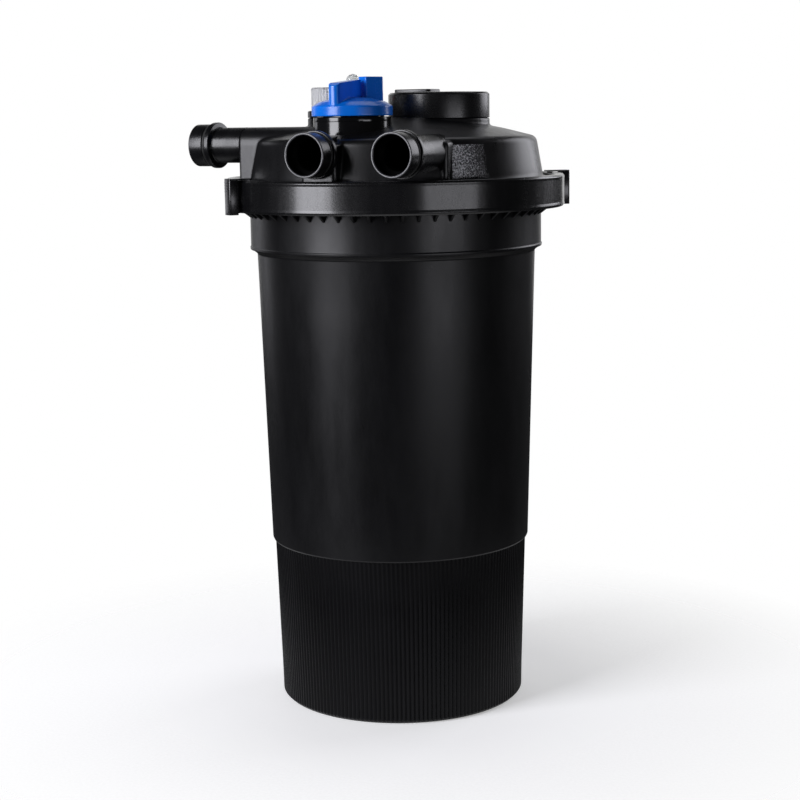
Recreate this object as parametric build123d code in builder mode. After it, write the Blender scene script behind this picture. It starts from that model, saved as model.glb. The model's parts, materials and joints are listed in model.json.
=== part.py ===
from build123d import *
import os
from math import cos, radians, sin

# Pressurised pond filter with a built-in UV clarifier.  Millimetres, +Z up.
# Origin: centre of the vessel's base.  -Y is the side that the two front ports point to.

# ---- vessel -------------------------------------------------------------------------------
wall = 4.0
floor = 5.0
base_radius = 138.0
ribbed_top_radius = 143.0
ribbed_height = 183.0
barrel_low_radius = 146.0
barrel_top_radius = 155.0
barrel_top = 507.0
collar_radius = 162.0
collar_low = 512.0
flange_radius = 183.5
flange_low = 558.5
flange_mid = 571.5          # face where the lid meets the vessel
flange_top = 586.5
seal_inner = 166.0
seal_outer = 172.0
seal_depth = 4.0
gusset_count = 60
gusset_thickness = 3.0
gusset_reach = 14.0
gusset_height = 11.5

# ---- lid ----------------------------------------------------------------------------------
spigot_radius = 157.5
dome_base_radius = 163.4
dome_shoulder_radius = 156.8
dome_shoulder = 631.5
dome_slope_radius = 120.0      # the top's slope eases here
dome_slope = 641.3
dome_crown_radius = 60.0
dome_crown = 654.0
shoulder_round = 8.0
block_half_width = 21.0
block_reach = 176.0
block_above_axis = 12.0
block_round = 7.0
boss_root = 640.0            # bosses on the dome start inside it, at this height
hole_root = 630.0            # and their holes start below it

# ---- clamp ring ---------------------------------------------------------------------------
clamp_radius = 188.0
clamp_bore = 184.0
clamp_lip_radius = 178.0
clamp_low = 555.0
clamp_high = 590.0
clamp_edge = 1.2
left_joint = 235.5          # angles of the two joints between the halves
right_joint = 401.0
joint_gap = 0.06            # degrees that each half stops short of a joint
ear_gap = 0.2
ear_thickness = 3.0
ear_bead = 4.7
ear_bead_length = 6.0
ear_reach = 200.0
clip_inner = 192.5
clip_reach = 202.5
clip_width = 15.2
clip_low = 553.5
clip_high = 592.0
clip_cap_inner = 176.0      # the clip's cap lies over the ring as far as here
clip_slot = 7.2
clip_bead_slot = 10.2
clip_play = 0.4

# ---- rotary valve -------------------------------------------------------------------------
valve_centre = (0.0, -96.0)
valve_radius = 41.2
valve_bore = 35.0
valve_low = 588.0
valve_floor = 592.0
valve_cover_low = 650.0
valve_top = 655.0
gasket_top = 594.5
rotor_radius = 34.4
rotor_low = 595.0
rotor_top = 649.4
spindle_radius = 6.0
running_clearance = 0.05
spindle_square = 8.4
down_centre = (-17.0, -92.0)
return_centre = (17.0, -92.0)
floor_hole = 12.0
cover_screw_circle = 36.6
cover_screw_radius = 1.2
cover_screw_head = 1.9
screw_hole_low = 640.0

# ---- selector knob ------------------------------------------------------------------------
knob_radius = 43.0
knob_low = 655.8
knob_band_top = 666.7
knob_top = 676.0
grip_width = 13.0
pointer_angle = 270.0
pointer_reach = 42.0
lug_angle = 68.5
lug_start = 14.0
lug_reach = 39.5
lug_top = 697.0

# ---- ports --------------------------------------------------------------------------------
port_reach = 200.0          # front mouths, from the vessel's axis
front_port_height = 617.0
outlet_offset = 100.0
side_port_reach = 193.4
side_port_height = 626.0
side_port_offset = -98.0
tube_radius = 19.25
tube_bore = 16.5
mouth_radius = 20.4
mouth_depth = 12.0
end_collar_radius = 23.0
end_collar_length = 17.0
oring_gap = 4.0
second_ring_radius = 25.0
second_ring_length = 6.0
groove_radius = 20.3
oring_section = 1.6
side_plug_radius = 17.2     # the side tube narrows where it enters the lid
side_plug_bore = 15.0
side_block_face = -130.0
outlet_back = -96.0         # closed end of the outlet tube, inside the dome
duct_radius = 13.5          # cross duct from the outlet tube to the valve
duct_bore = 11.0
duct_height = 611.0
duct_line = -114.0
seat_gap = 0.2              # around fixed tubes where they pass through the lid

# ---- UV clarifier -------------------------------------------------------------------------
uv_centre = (44.0, 23.0)
uv_head_radius = 56.0
uv_skirt_bore = 52.4
uv_head_low = 655.6
uv_head_top = 680.0
uv_boss_radius = 51.8
uv_boss_top = 662.0
uv_seat_top = 655.0
uv_socket_radius = 38.0
uv_socket_low = 625.0
uv_bore = 30.0
uv_groove_radius = 48.8      # seal groove round the boss
uv_groove_low = 657.0
ballast_length = 60.0
ballast_width = 56.0
ballast_low = 663.3
ballast_height = 11.5
gland_hex_radius = 8.6
gland_hex_length = 6.0
gland_nut_radius = 8.2
chamber_radius = 32.0
chamber_bore = 29.0
chamber_low = 290.0
chamber_top = 644.5
sleeve_radius = 22.0
sleeve_bore = 20.0
sleeve_low = 300.0
sleeve_top = 655.0
lamp_tube_radius = 8.0
lamp_tube_offset = 9.5
lamp_low = 310.0
lamp_base_low = 620.0
lamp_base_top = 640.0
gland_height = 669.5
gland_thread = 6.2
gland_bore = 4.0

# ---- sight glass and flow indicator -------------------------------------------------------
sight_centre = (-53.5, -50.3)
sight_radius = 20.0
sight_bore = 14.0
sight_pad_radius = 24.0
sight_pad_top = 654.5
sight_socket_top = 657.0
sight_top = 687.0
indicator_centre = (-46.0, -10.0)
indicator_radius = 7.5
indicator_bore = 6.3
indicator_socket_radius = 11.0
indicator_seat = 672.0
indicator_top = 702.0
float_radius = 5.0
float_low = 674.5
float_high = 684.0

# ---- filter media -------------------------------------------------------------------------
grid_radius = 127.0
grid_low = 24.0
grid_thickness = 6.0
divider_low = 126.0
foam_low = 133.0
foam_height = 72.0
foam_gap = 0.5
foam_side_gap = 3.0
foam_names = ("foam_coarse_lower", "foam_coarse_upper", "foam_medium_lower",
              "foam_medium_upper", "foam_fine")
rod_circle = 108.0
rod_angles = (30.0, 150.0, 210.0, 330.0)
rod_radius = 4.0
ball_radius = 19.0
ball_pitch = 42.0
ball_layers = (50.0, 92.0)

STAND_ON = (Align.CENTER, Align.CENTER, Align.MIN)
parts_folder = "parts"
os.makedirs(parts_folder, exist_ok=True)


def save(builder, label):
    """Label a finished piece and write its STEP file."""
    builder.part.label = label
    export_step(builder.part, f"{parts_folder}/{label}.step")


def turn(outline, origin=(0, 0, 0), along=(0, 0, 1), across=(1, 0, 0), mode=Mode.ADD,
         sweep=360.0):
    """Revolve a closed outline of (radius, distance along the axis) points."""
    start = Vector(*origin)
    axis_way = Vector(*along)
    radial = Vector(*across)
    with BuildSketch(Plane(origin=start, x_dir=radial, z_dir=radial.cross(axis_way))) as face:
        with BuildLine():
            Polyline(*outline, close=True)
        make_face()
    revolve(face.sketch, axis=Axis(start, axis_way), revolution_arc=sweep, mode=mode)


def post(radius, low, high, centre=(0, 0), mode=Mode.ADD):
    """A vertical cylinder between two heights."""
    with Locations((centre[0], centre[1], low)):
        Cylinder(radius, high - low, align=STAND_ON, mode=mode)


def rod(radius, start, way, length, mode=Mode.ADD):
    """A cylinder from a point along a direction."""
    with Locations(Plane(origin=start, z_dir=way)):
        Cylinder(radius, length, align=STAND_ON, mode=mode)


def ring_seal(mid_radius, section, origin, along=(0, 0, 1)):
    """An O-ring of round section about an axis."""
    with Locations(Plane(origin=origin, z_dir=along)):
        Torus(mid_radius, section)


def polar(radius, angle, height=0.0, centre=(0, 0)):
    """A point at a radius and an angle about a vertical axis."""
    turned = radians(angle)
    return (centre[0] + radius * cos(turned), centre[1] + radius * sin(turned), height)


def vessel_bore(height):
    """Inner radius of the vessel at a height."""
    if height < ribbed_height:
        rise = height / ribbed_height
        return base_radius - wall + rise * (ribbed_top_radius - base_radius)
    rise = (height - ribbed_height) / (barrel_top - ribbed_height)
    return barrel_low_radius - wall + rise * (barrel_top_radius - barrel_low_radius)


# ---- vessel and its seal ------------------------------------------------------------------
base_edge = 4.0
step_run = 4.0
mouth_bore = collar_radius - wall
with BuildPart() as vessel:
    turn([
        (0, 0),
        (base_radius - base_edge, 0),
        (base_radius, base_edge),
        (ribbed_top_radius, ribbed_height),
        (barrel_low_radius, ribbed_height),
        (barrel_top_radius, barrel_top),
        (collar_radius, collar_low),
        (collar_radius, flange_low),
        (flange_radius, flange_low),
        (flange_radius, flange_mid),
        (seal_outer, flange_mid),
        (seal_outer, flange_mid - seal_depth),
        (seal_inner, flange_mid - seal_depth),
        (seal_inner, flange_mid),
        (mouth_bore, flange_mid),
        (mouth_bore, collar_low + step_run),
        (barrel_top_radius - wall, barrel_top - step_run),
        (barrel_low_radius - wall, ribbed_height + step_run),
        (ribbed_top_radius - wall, ribbed_height - step_run),
        (base_radius - wall, floor + base_edge),
        (base_radius - wall - base_edge, floor),
        (0, floor),
    ])
    with BuildSketch(Plane.XZ) as gusset_face:
        with BuildLine():
            Polyline((collar_radius - 1, flange_low - gusset_height),
                     (collar_radius, flange_low - gusset_height),
                     (collar_radius + gusset_reach, flange_low),
                     (collar_radius - 1, flange_low), close=True)
        make_face()
    gusset = extrude(gusset_face.sketch, gusset_thickness / 2, both=True, mode=Mode.PRIVATE)
    with PolarLocations(0, gusset_count):
        add(gusset)
save(vessel, "vessel")

with BuildPart() as lid_seal:
    turn([
        (seal_inner, flange_mid - seal_depth),
        (seal_outer, flange_mid - seal_depth),
        (seal_outer, flange_mid),
        (seal_inner, flange_mid),
    ])
save(lid_seal, "lid_seal")


# ---- lid ----------------------------------------------------------------------------------
# Each front port passes through a block on the dome's wall: (centre line's start, length).
front_blocks = (
    ((0.0, -138.0), 34.0),
    ((outlet_offset, -90.0), 27.0),
)
side_block_length = 40.0
cavity = [
    (0, flange_mid - 12),
    (spigot_radius - 4.5, flange_mid - 12),
    (spigot_radius - 4.5, flange_mid + 8),
    (dome_base_radius - wall, flange_top + 6),
    (dome_shoulder_radius - wall, dome_shoulder - 3),
    (dome_slope_radius, dome_slope - wall),
    (dome_crown_radius, dome_crown - wall),
    (0, dome_crown - wall),
]
with BuildPart() as lid:
    with BuildSketch(Plane.XZ) as dome_face:
        with BuildLine():
            Polyline((0, flange_mid - 11), (spigot_radius, flange_mid - 11),
                     (spigot_radius, flange_mid), (flange_radius, flange_mid),
                     (flange_radius, flange_top), (dome_base_radius, flange_top),
                     (dome_base_radius, flange_top + 6), (dome_shoulder_radius, dome_shoulder),
                     (dome_slope_radius, dome_slope), (dome_crown_radius, dome_crown),
                     (0, dome_crown), close=True)
        make_face()
        fillet(dome_face.vertices().sort_by_distance((dome_shoulder_radius, dome_shoulder))[0],
               shoulder_round)
    revolve(axis=Axis.Z)
    for (centre_x, start_y), run in front_blocks:
        block_top = front_port_height + block_above_axis
        with BuildPart(mode=Mode.PRIVATE) as block:
            with BuildSketch(Plane.XY.offset(flange_mid)):
                with Locations((centre_x, start_y - run / 2)):
                    Rectangle(2 * block_half_width, run)
            extrude(amount=block_top - flange_mid)
            fillet(block.faces().sort_by(Axis.Z)[-1].edges(), block_round)
            post(block_reach, flange_mid, block_top, mode=Mode.INTERSECT)
        add(block.part)
    # The side port's block has the tube's own width, and its top is a half-round saddle.
    with Locations((side_block_face + side_block_length / 2, side_port_offset, flange_mid)):
        Box(side_block_length, 2 * tube_radius, side_port_height - flange_mid, align=STAND_ON)
    rod(tube_radius, (side_block_face, side_port_offset, side_port_height), (1, 0, 0),
        -side_block_face - valve_radius)
    post(uv_head_radius, boss_root, uv_seat_top, uv_centre)
    post(uv_boss_radius, boss_root, uv_boss_top, uv_centre)
    post(sight_pad_radius, boss_root, sight_pad_top, sight_centre)
    post(sight_radius - seat_gap, boss_root, sight_socket_top, sight_centre)
    turn(cavity, mode=Mode.SUBTRACT)
    post(uv_socket_radius, uv_socket_low, uv_seat_top, uv_centre)
    post(chamber_radius + 0.2, uv_socket_low, chamber_top + 0.5, uv_centre, Mode.SUBTRACT)
    post(uv_bore, uv_socket_low, uv_boss_top, uv_centre, Mode.SUBTRACT)
    turn([(uv_groove_radius, uv_groove_low), (uv_boss_radius + 1, uv_groove_low),
          (uv_boss_radius + 1, uv_groove_low + 3), (uv_groove_radius, uv_groove_low + 3)],
         origin=(*uv_centre, 0), mode=Mode.SUBTRACT)
    post(sight_bore, hole_root, sight_socket_top, sight_centre, Mode.SUBTRACT)
    post(indicator_radius + 0.5, hole_root, sight_socket_top, indicator_centre, Mode.SUBTRACT)
    post(valve_radius + seat_gap, flange_top, uv_boss_top, valve_centre, Mode.SUBTRACT)
    rod(tube_radius + seat_gap, (0, -port_reach / 2, front_port_height),
        (0, -1, 0), port_reach / 2, Mode.SUBTRACT)
    rod(tube_radius + seat_gap, (outlet_offset, outlet_back + seat_gap, front_port_height),
        (0, -1, 0), port_reach / 2, Mode.SUBTRACT)
    rod(tube_radius + seat_gap, (side_block_face, side_port_offset, side_port_height),
        (-1, 0, 0), side_block_length, Mode.SUBTRACT)
    rod(side_plug_radius + seat_gap, (side_block_face, side_port_offset, side_port_height),
        (1, 0, 0), -side_block_face, Mode.SUBTRACT)
save(lid, "lid")


# ---- clamp ring halves and the clips that lock them ---------------------------------------
def ear(angle, side):
    """A flat plate with an outer bead, on one side of a joint."""
    root = clamp_radius - 1
    bead_root = ear_reach - ear_bead_length
    plan = [(root, ear_gap), (ear_reach, ear_gap), (ear_reach, ear_bead), (bead_root, ear_bead),
            (bead_root, ear_gap + ear_thickness), (root, ear_gap + ear_thickness)]
    way = Plane(origin=(0, 0, clamp_low), x_dir=polar(1, angle), z_dir=(0, 0, 1))
    with BuildSketch(way) as plate:
        with BuildLine():
            Polyline(*[(radius, side * offset) for radius, offset in plan], close=True)
        make_face()
    extrude(plate.sketch, clamp_high - clamp_low)


clamp_outline = [
    (clamp_lip_radius, clamp_low),
    (clamp_radius - clamp_edge, clamp_low),
    (clamp_radius, clamp_low + clamp_edge),
    (clamp_radius, clamp_high - clamp_edge),
    (clamp_radius - clamp_edge, clamp_high),
    (clamp_lip_radius, clamp_high),
    (clamp_lip_radius, flange_top),
    (clamp_bore, flange_top),
    (clamp_bore, flange_low),
    (clamp_lip_radius, flange_low),
]
for half_name, start, end in (("clamp_half_front", left_joint, right_joint),
                              ("clamp_half_rear", right_joint - 360, left_joint)):
    with BuildPart() as clamp_half:
        turn(clamp_outline, across=polar(1, start + joint_gap), sweep=end - start - 2 * joint_gap)
        ear(start, 1)
        ear(end, -1)
    save(clamp_half, half_name)

clip_depth = clip_reach - clip_inner
cap_low = clamp_high + clip_play
for clip_name, angle in (("clamp_clip_left", left_joint), ("clamp_clip_right", right_joint)):
    outwards = polar(1, angle)
    with BuildPart() as clip:
        with BuildSketch(Plane(origin=(0, 0, clip_low), x_dir=outwards, z_dir=(0, 0, 1))):
            with Locations((clip_inner + clip_depth / 2, 0)):
                Rectangle(clip_depth, clip_width)
        extrude(amount=clip_high - clip_low)
        fillet(clip.edges().filter_by(Axis.Z), 1.2)
        with BuildSketch(Plane(origin=(0, 0, cap_low), x_dir=outwards, z_dir=(0, 0, 1))):
            with Locations(((clip_cap_inner + clip_inner + 3) / 2, 0)):
                Rectangle(clip_inner + 3 - clip_cap_inner, clip_width)
        extrude(amount=clip_high - cap_low)
        with BuildSketch(Plane(origin=(0, 0, clip_low), x_dir=outwards, z_dir=(0, 0, 1))):
            with Locations(((clip_inner + ear_reach) / 2, 0)):
                Rectangle(ear_reach - clip_inner + clip_play, clip_slot)
            with Locations((ear_reach - ear_bead_length / 2, 0)):
                Rectangle(ear_bead_length + 2 * clip_play, clip_bead_slot)
        extrude(amount=cap_low - clip_low, mode=Mode.SUBTRACT)
    save(clip, clip_name)


# ---- ports --------------------------------------------------------------------------------
def spigot_outline(length):
    """Outline of a port tube, from its mouth inwards: collar, O-ring groove, ring, tube."""
    groove_start = end_collar_length
    ring_start = groove_start + oring_gap
    ring_end = ring_start + second_ring_length
    return [
        (mouth_radius, 0.8),
        (mouth_radius + 0.8, 0),
        (end_collar_radius - 1, 0),
        (end_collar_radius, 1),
        (end_collar_radius, groove_start - 1),
        (end_collar_radius - 0.6, groove_start),
        (groove_radius, groove_start),
        (groove_radius, ring_start),
        (second_ring_radius - 0.6, ring_start),
        (second_ring_radius, ring_start + 0.6),
        (second_ring_radius, ring_end - 0.6),
        (second_ring_radius - 0.6, ring_end),
        (tube_radius, ring_end),
        (tube_radius, length),
        (tube_bore, length),
        (tube_bore, mouth_depth + 3.5),
        (mouth_radius, mouth_depth),
    ]


inlet_mouth = (0, -port_reach, front_port_height)
outlet_mouth = (outlet_offset, -port_reach, front_port_height)
waste_mouth = (-side_port_reach, side_port_offset, side_port_height)
saddle_radius = valve_radius + running_clearance

with BuildPart() as inlet_spigot:
    turn(spigot_outline(90.0), inlet_mouth, along=(0, 1, 0), across=(0, 0, 1))
    post(saddle_radius, valve_low, valve_top, valve_centre, Mode.SUBTRACT)
save(inlet_spigot, "inlet_spigot")

with BuildPart() as outlet_spigot:
    turn(spigot_outline(outlet_back + port_reach - wall), outlet_mouth,
         along=(0, 1, 0), across=(0, 0, 1))
    rod(tube_radius, (outlet_offset, outlet_back - wall, front_port_height), (0, 1, 0), wall)
    rod(duct_radius, (outlet_offset - tube_bore + 2, duct_line, duct_height), (-1, 0, 0), 80.0)
    rod(duct_bore, (outlet_offset, duct_line, duct_height), (-1, 0, 0), 90.0, Mode.SUBTRACT)
    post(saddle_radius, valve_low, valve_top, valve_centre, Mode.SUBTRACT)
save(outlet_spigot, "outlet_spigot")

shoulder = side_port_reach + side_block_face
waste_outline = spigot_outline(175.0)
tube_end = waste_outline.index((tube_radius, 175.0))
waste_outline[tube_end:tube_end + 2] = [
    (tube_radius, shoulder), (side_plug_radius, shoulder), (side_plug_radius, 175.0),
    (side_plug_bore, 175.0), (side_plug_bore, shoulder), (tube_bore, shoulder - 3),
]
with BuildPart() as waste_spigot:
    turn(waste_outline, waste_mouth, along=(1, 0, 0), across=(0, 0, 1))
    post(saddle_radius, valve_low, valve_top, valve_centre, Mode.SUBTRACT)
save(waste_spigot, "waste_spigot")

oring_mid = groove_radius + oring_section
oring_depth = end_collar_length + oring_gap / 2
for seal_name, mouth, inwards in (("inlet_oring", inlet_mouth, (0, 1, 0)),
                                  ("outlet_oring", outlet_mouth, (0, 1, 0)),
                                  ("waste_oring", waste_mouth, (1, 0, 0))):
    with BuildPart() as port_oring:
        ring_seal(oring_mid, oring_section, Vector(*mouth) + Vector(*inwards) * oring_depth, inwards)
    save(port_oring, seal_name)


# ---- rotary valve -------------------------------------------------------------------------
with BuildPart() as valve_housing:
    post(valve_radius, valve_low, valve_cover_low, valve_centre)
    post(valve_bore, valve_floor, valve_cover_low, valve_centre, Mode.SUBTRACT)
    for hole_centre in (down_centre, return_centre):
        post(floor_hole, valve_low, valve_floor, hole_centre, Mode.SUBTRACT)
    rod(tube_bore, (0, -100, front_port_height), (0, -1, 0), 60.0, Mode.SUBTRACT)
    rod(side_plug_bore, (0, side_port_offset, side_port_height), (-1, 0, 0), 60.0, Mode.SUBTRACT)
    rod(duct_bore, (0, duct_line, duct_height), (1, 0, 0), 60.0, Mode.SUBTRACT)
    for quarter in range(4):
        spot = polar(cover_screw_circle, 45 + 90 * quarter, 0, valve_centre)
        post(cover_screw_radius, screw_hole_low, valve_cover_low, spot[:2], Mode.SUBTRACT)
save(valve_housing, "valve_housing")

with BuildPart() as valve_gasket:
    post(valve_bore - 0.5, valve_floor, gasket_top, valve_centre)
    for hole_centre in (down_centre, return_centre):
        post(floor_hole, valve_floor, gasket_top, hole_centre, Mode.SUBTRACT)
save(valve_gasket, "valve_gasket")

with BuildPart() as valve_cover:
    post(valve_radius, valve_cover_low, valve_top, valve_centre)
    post(spindle_radius + running_clearance, valve_cover_low, valve_top, valve_centre, Mode.SUBTRACT)
    post(9.6, valve_cover_low, valve_cover_low + 3.4, valve_centre, Mode.SUBTRACT)
    for quarter in range(4):
        spot = polar(cover_screw_circle, 45 + 90 * quarter, 0, valve_centre)
        post(cover_screw_radius, valve_cover_low, valve_top, spot[:2], Mode.SUBTRACT)
        post(cover_screw_head, valve_top - 2, valve_top, spot[:2], Mode.SUBTRACT)
save(valve_cover, "valve_cover")

with BuildPart() as valve_cover_screws:
    for quarter in range(4):
        spot = polar(cover_screw_circle, 45 + 90 * quarter, 0, valve_centre)
        post(cover_screw_radius, screw_hole_low + 1, valve_top - 1, spot[:2])
        post(cover_screw_head, valve_top - 2, valve_top - 0.2, spot[:2])
save(valve_cover_screws, "valve_cover_screws")

with BuildPart() as spindle_oring:
    ring_seal(8.0, 1.5, (*valve_centre, valve_cover_low + 1.7))
save(spindle_oring, "spindle_oring")

drum_wall = 3.0
partition_angle = 305.0
with BuildPart() as valve_rotor:
    post(rotor_radius, rotor_low, rotor_top - 1, valve_centre)
    post(10.0, rotor_low, rotor_top, valve_centre)
    post(rotor_radius - drum_wall, rotor_low, rotor_top - 5, valve_centre, Mode.SUBTRACT)
    with BuildSketch(Plane(origin=(*valve_centre, rotor_low), x_dir=polar(1, partition_angle),
                           z_dir=(0, 0, 1))):
        Rectangle(2 * (rotor_radius - 1), 4.0)
        Circle(10.0)
    extrude(amount=rotor_top - 3 - rotor_low)
    rod(tube_bore, (0, -112, front_port_height), (0, -1, 0), 60.0, Mode.SUBTRACT)
    rod(duct_bore, (14, duct_line, duct_height), (1, 0, 0), 60.0, Mode.SUBTRACT)
    post(spindle_radius, rotor_top - 25, rotor_top, valve_centre, Mode.SUBTRACT)
save(valve_rotor, "valve_rotor")

with BuildPart() as valve_spindle:
    post(spindle_radius, rotor_top - 25, knob_low, valve_centre)
    with BuildSketch(Plane(origin=(*valve_centre, knob_low))):
        Rectangle(spindle_square, spindle_square)
    extrude(amount=12.0)
save(valve_spindle, "valve_spindle")

with BuildPart() as selector_knob:
    turn([
        (0, knob_low + 0.2), (9, knob_low + 0.2), (9, 662), (38.5, 662), (38.5, knob_low),
        (knob_radius, knob_low), (knob_radius, knob_band_top - 1), (40.8, knob_band_top),
        (36, 669), (33, 671), (20, 674.6), (0, knob_top),
    ], origin=(*valve_centre, 0))
    # The pointer arm's top rises towards the middle of the knob.
    pointer_plane = Plane(origin=(*valve_centre, 0), x_dir=polar(1, pointer_angle),
                          z_dir=polar(1, pointer_angle - 90))
    with BuildSketch(pointer_plane) as pointer_side:
        with BuildLine():
            Polyline((-9, 672), (pointer_reach, 667), (pointer_reach, 685), (pointer_reach - 5, 689.2),
                     (-9, 694), close=True)
        make_face()
    extrude(pointer_side.sketch, grip_width / 2, both=True)
    with BuildSketch(Plane(origin=(*valve_centre, 664), x_dir=polar(1, lug_angle),
                           z_dir=(0, 0, 1))) as lug_plan:
        with Locations(((lug_start + lug_reach) / 2, 0)):
            RectangleRounded(lug_reach - lug_start, grip_width, 2.5)
    extrude(lug_plan.sketch, lug_top - 664)
    with BuildSketch(Plane(origin=(*valve_centre, knob_low))) as square_hole:
        Rectangle(spindle_square + 0.1, spindle_square + 0.1)
    extrude(square_hole.sketch, 668 - knob_low, mode=Mode.SUBTRACT)
save(selector_knob, "selector_knob")


# ---- UV clarifier -------------------------------------------------------------------------
with BuildPart() as uv_head:
    turn([
        (uv_skirt_bore, uv_head_low), (uv_head_radius, uv_head_low),
        (uv_head_radius, uv_head_top - 2.5), (uv_head_radius - 2, uv_head_top - 0.5),
        (30, uv_head_top + 0.8), (0, uv_head_top + 1), (0, uv_head_top - 4),
        (uv_skirt_bore, uv_head_top - 4),
    ], origin=(*uv_centre, 0))
    with BuildSketch(Plane.XY.offset(uv_head_top - 1)):
        with Locations((20, 18)):
            RectangleRounded(44, 30, 4)
    extrude(amount=5.0)
    rod(6.5, (uv_centre[0], uv_centre[1] + 45, gland_height), (0, 1, 0), 20.0, Mode.SUBTRACT)
save(uv_head, "uv_head")

with BuildPart() as uv_head_seal:
    ring_seal(uv_groove_radius + 1.6, 1.4, (*uv_centre, uv_groove_low + 1.5))
save(uv_head_seal, "uv_head_seal")

gland_face = uv_centre[1] + uv_head_radius
with BuildPart() as cable_gland:
    rod(gland_thread, (uv_centre[0], gland_face - 5, gland_height), (0, 1, 0), 13.0)
    with BuildSketch(Plane(origin=(uv_centre[0], gland_face, gland_height), x_dir=(1, 0, 0),
                           z_dir=(0, 1, 0))) as hexagon:
        RegularPolygon(gland_hex_radius, 6)
    extrude(hexagon.sketch, gland_hex_length)
    rod(gland_bore, (uv_centre[0], gland_face - 6, gland_height), (0, 1, 0), 20.0, Mode.SUBTRACT)
save(cable_gland, "cable_gland")

with BuildPart() as gland_nut:
    turn([(gland_bore, 20), (5.5, 20), (gland_nut_radius, 14), (gland_nut_radius, 8.2),
          (gland_bore, 8.2)],
         origin=(uv_centre[0], gland_face, gland_height), along=(0, 1, 0), across=(1, 0, 0))
save(gland_nut, "gland_nut")

with BuildPart() as uv_ballast:
    with Locations((*uv_centre, ballast_low)):
        Box(ballast_length, ballast_width, ballast_height, align=STAND_ON)
    fillet(uv_ballast.edges().filter_by(Axis.Z), 4)
save(uv_ballast, "uv_ballast")

with BuildPart() as lamp_socket:
    post(19.0, lamp_base_top, sleeve_top + 0.2, uv_centre)
    post(28.0, sleeve_top + 0.2, ballast_low, uv_centre)
save(lamp_socket, "lamp_socket")

with BuildPart() as uv_lamp:
    for side in (-1, 1):
        post(lamp_tube_radius, lamp_low, lamp_base_low, (uv_centre[0] + side * lamp_tube_offset,
                                                         uv_centre[1]))
    rod(3.5, (uv_centre[0] - lamp_tube_offset, uv_centre[1], lamp_low + 9), (1, 0, 0),
        2 * lamp_tube_offset)
    post(18.0, lamp_base_low, lamp_base_top, uv_centre)
save(uv_lamp, "uv_lamp")

with BuildPart() as quartz_sleeve:
    turn([
        (0, sleeve_low), (sleeve_radius - 3, sleeve_low), (sleeve_radius, sleeve_low + 3),
        (sleeve_radius, sleeve_top - 2), (26, sleeve_top - 2), (26, sleeve_top),
        (sleeve_bore, sleeve_top), (sleeve_bore, sleeve_low + 4), (sleeve_bore - 2, sleeve_low + 2),
        (0, sleeve_low + 2),
    ], origin=(*uv_centre, 0))
save(quartz_sleeve, "quartz_sleeve")

with BuildPart() as sleeve_seal:
    turn([(sleeve_radius, 651), (26, 651), (26, 653), (sleeve_radius, 653)],
         origin=(*uv_centre, 0))
save(sleeve_seal, "sleeve_seal")

with BuildPart() as sleeve_nut:
    turn([(sleeve_radius + 0.2, 641), (28, 641), (28, 651), (sleeve_radius + 0.2, 651)],
         origin=(*uv_centre, 0))
save(sleeve_nut, "sleeve_nut")

with BuildPart() as uv_chamber:
    turn([(chamber_bore, chamber_low), (chamber_radius, chamber_low),
          (chamber_radius, chamber_top), (chamber_bore, chamber_top)], origin=(*uv_centre, 0))
    with Locations(Plane(origin=(*uv_centre, 560))):
        with PolarLocations(chamber_bore + 1, 8, 22.5):
            Box(12, 8, 60, mode=Mode.SUBTRACT)
save(uv_chamber, "uv_chamber")


# ---- sight glass and flow indicator -------------------------------------------------------
with BuildPart() as sight_glass:
    turn([
        (sight_bore + 0.5, 659), (sight_radius, 659), (sight_radius, sight_top - 1.5),
        (sight_radius - 1.5, sight_top), (0, sight_top), (0, sight_top - 2.5),
        (sight_radius - 2.5, sight_top - 2.5), (sight_radius - 2.5, 662), (sight_bore + 0.5, 662),
    ], origin=(*sight_centre, 0))
save(sight_glass, "sight_glass")

with BuildPart() as sight_glass_seal:
    turn([(sight_bore + 0.5, sight_socket_top), (sight_radius - 0.5, sight_socket_top),
          (sight_radius - 0.5, 659), (sight_bore + 0.5, 659)], origin=(*sight_centre, 0))
save(sight_glass_seal, "sight_glass_seal")

with BuildPart() as sight_glass_nut:
    turn([(sight_radius + 0.2, sight_pad_top), (sight_pad_radius, sight_pad_top),
          (sight_pad_radius, 661), (sight_pad_radius - 1, 662), (sight_radius + 0.2, 662)],
         origin=(*sight_centre, 0))
save(sight_glass_nut, "sight_glass_nut")

with BuildPart() as indicator_socket:
    turn([
        (indicator_bore, 640), (indicator_radius, 640), (indicator_radius, dome_crown + 0.2),
        (indicator_socket_radius, dome_crown + 0.2), (indicator_socket_radius, indicator_seat - 1),
        (indicator_socket_radius - 1, indicator_seat), (indicator_bore - 3, indicator_seat),
        (indicator_bore - 3, indicator_seat - 3), (indicator_bore, indicator_seat - 3),
    ], origin=(*indicator_centre, 0))
save(indicator_socket, "indicator_socket")

with BuildPart() as indicator_dome:
    post(indicator_radius, indicator_seat, indicator_top - indicator_radius, indicator_centre)
    with Locations((*indicator_centre, indicator_top - indicator_radius)):
        Sphere(indicator_radius)
    post(indicator_bore, indicator_seat, indicator_top - indicator_radius, indicator_centre,
         Mode.SUBTRACT)
    with Locations((*indicator_centre, indicator_top - indicator_radius)):
        Sphere(indicator_bore, mode=Mode.SUBTRACT)
save(indicator_dome, "indicator_dome")

with BuildPart() as indicator_float:
    post(float_radius, float_low, float_high, indicator_centre)
    chamfer(indicator_float.edges(), 0.8)
save(indicator_float, "indicator_float")


# ---- filter media -------------------------------------------------------------------------
with BuildPart() as inlet_downpipe:
    post(floor_hole + 3, grid_low - 4, valve_low, down_centre)
    post(floor_hole, grid_low - 4, valve_low, down_centre, Mode.SUBTRACT)
save(inlet_downpipe, "inlet_downpipe")


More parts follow.
